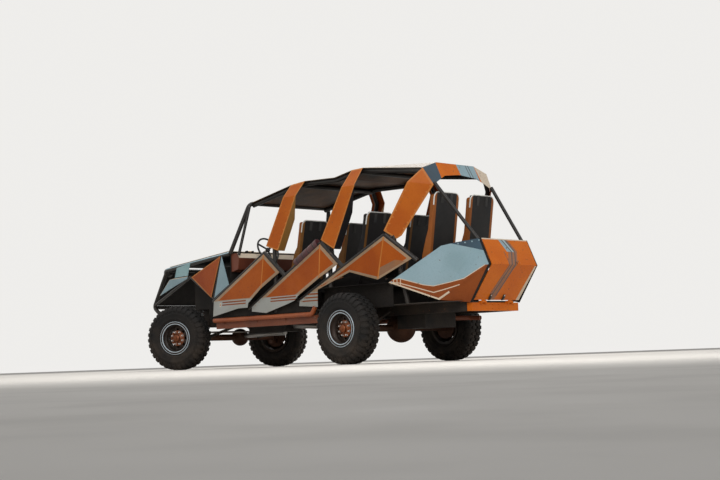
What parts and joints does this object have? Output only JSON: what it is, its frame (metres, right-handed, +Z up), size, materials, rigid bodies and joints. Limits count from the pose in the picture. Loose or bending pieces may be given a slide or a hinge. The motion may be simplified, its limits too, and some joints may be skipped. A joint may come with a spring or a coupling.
{
  "type": "tubular dune buggy",
  "caption": "Long open off-road passenger buggy with a tube frame, roof hoops, folded orange side panels, solid axles and large tyres.",
  "frame": {"origin": "middle of the vehicle's length and width at ground level", "axes": "+X forward, +Y to the vehicle's left, +Z up"},
  "size_m": [6.331, 2.5292, 2.4734],
  "materials": {
    "black_tube": "satin black paint, dusty",
    "orange_panel": "orange paint, worn at the edges",
    "blue_panel": "pale blue-grey paint",
    "roof_skin": "matt black sheet",
    "black_panel": "matt black sheet",
    "dash": "brown moulded dash",
    "bare_steel": "bare machined steel",
    "chassis_paint": "chassis black",
    "rust_orange": "orange-brown paint, sand blasted",
    "floor_plate": "tread plate, dusty",
    "seat_shell": "orange seat shell",
    "seat_vinyl": "black vinyl",
    "engine_metal": "grey cast metal",
    "tank_metal": "black painted tank",
    "lamp_black": "black lamp housing",
    "axle_iron": "cast iron with rust and dust",
    "spring_steel": "painted spring steel",
    "roll_pad": "dark maroon padded vinyl",
    "wheel_grip": "black grip",
    "tyre_rubber": "black tyre, dusty",
    "wheel_steel": "dark steel wheel with a pale lip"
  },
  "bodies": {
    "frame": {"roof_hoops": "black_tube", "hoop_cladding": "orange_panel", "side_lattice": "black_tube", "windscreen_frame": "black_tube", "roof_rails": "black_tube", "roof_panels": "roof_skin", "side_panels": "orange_panel", "quarter_panels": "blue_panel", "tail_frame": "black_tube", "rear_visor": "orange_panel", "rear_bumper": "orange_panel", "nose_panel": "blue_panel", "nose_side_tubes": "black_tube", "nose_cross_tubes": "black_tube", "front_fenders": "blue_panel", "fender_tubes": "black_tube", "firewall": "black_panel", "dashboard": "dash", "steering_column": "bare_steel", "chassis_rails": "chassis_paint", "crossmembers": "chassis_paint", "side_rails": "rust_orange", "floor_pan": "floor_plate", "sill_tubes": "rust_orange", "inner_panels": "black_panel", "seat_shells": "seat_shell", "seat_cushions": "seat_vinyl", "engine_block": "engine_metal", "gearbox": "engine_metal", "fuel_tank": "tank_metal", "spot_lamps": "lamp_black", "rear_axle": "axle_iron", "front_axle": "axle_iron", "coil_springs": "spring_steel", "suspension_links": "axle_iron", "propeller_shafts": "bare_steel", "belt_pads": "roll_pad", "exhaust": "bare_steel"},
    "hood": {"hood": "blue_panel"},
    "rear_hatch": {"rear_hatch": "orange_panel"},
    "steering_wheel": {"steering_wheel": "wheel_grip"},
    "left_knuckle": {"knuckle_left": "axle_iron"},
    "right_knuckle": {"knuckle_right": "axle_iron"},
    "tie_rod": {"tie_rod": "bare_steel"},
    "front_left_wheel": {"front_left_tyre": "tyre_rubber", "front_left_rim": "wheel_steel"},
    "front_right_wheel": {"front_right_tyre": "tyre_rubber", "front_right_rim": "wheel_steel"},
    "rear_left_wheel": {"rear_left_tyre": "tyre_rubber", "rear_left_rim": "wheel_steel"},
    "rear_right_wheel": {"rear_right_tyre": "tyre_rubber", "rear_right_rim": "wheel_steel"}
  },
  "joints": [
    {"name": "front_left_steer", "type": "hinge", "parent": "frame", "child": "left_knuckle", "pos_m": [2.0485, 0.87, 0.4445], "axis": [0, 0, 1], "range_deg": [-57, 13]},
    {"name": "front_right_steer", "type": "hinge", "parent": "frame", "child": "right_knuckle", "pos_m": [2.0485, -0.87, 0.4445], "axis": [0, 0, 1], "range_deg": [-57, 13]},
    {"name": "tie_rod_pivot", "type": "hinge", "parent": "left_knuckle", "child": "tie_rod", "pos_m": [1.91869, 0.81756, 0.5165], "axis": [0, 0, 1], "range_deg": [-13, 57]},
    {"name": "steering_wheel_turn", "type": "hinge", "parent": "frame", "child": "steering_wheel", "pos_m": [0.7285, 0.43, 1.6], "axis": [-0.9063, 0, 0.4226], "range_deg": [-684, 156]},
    {"name": "front_left_spin", "type": "hinge", "parent": "left_knuckle", "child": "front_left_wheel", "pos_m": [2.00355, 0.98126, 0.4445], "axis": [-0.3746, 0.9272, 0], "continuous": true},
    {"name": "front_right_spin", "type": "hinge", "parent": "right_knuckle", "child": "front_right_wheel", "pos_m": [2.09345, -0.98126, 0.4445], "axis": [-0.3746, 0.9272, 0], "continuous": true},
    {"name": "rear_left_spin", "type": "hinge", "parent": "frame", "child": "rear_left_wheel", "pos_m": [-1.2815, 0.99, 0.4445], "axis": [0, 1, 0], "continuous": true},
    {"name": "rear_right_spin", "type": "hinge", "parent": "frame", "child": "rear_right_wheel", "pos_m": [-1.2815, -0.99, 0.4445], "axis": [0, 1, 0], "continuous": true},
    {"name": "hood_hinge", "type": "hinge", "parent": "frame", "child": "hood", "pos_m": [0.9885, 0, 1.592], "axis": [0, -1, 0], "range_deg": [0, 55]},
    {"name": "rear_hatch_hinge", "type": "hinge", "parent": "frame", "child": "rear_hatch", "pos_m": [-2.8595, 0, 0.7], "axis": [0, -1, 0], "range_deg": [0, 95]}
  ],
  "couplings": [
    {"joint": "front_right_steer", "follows": "front_left_steer", "ratio": 1},
    {"joint": "tie_rod_pivot", "follows": "front_left_steer", "ratio": -1},
    {"joint": "steering_wheel_turn", "follows": "front_left_steer", "ratio": 12}
  ]
}
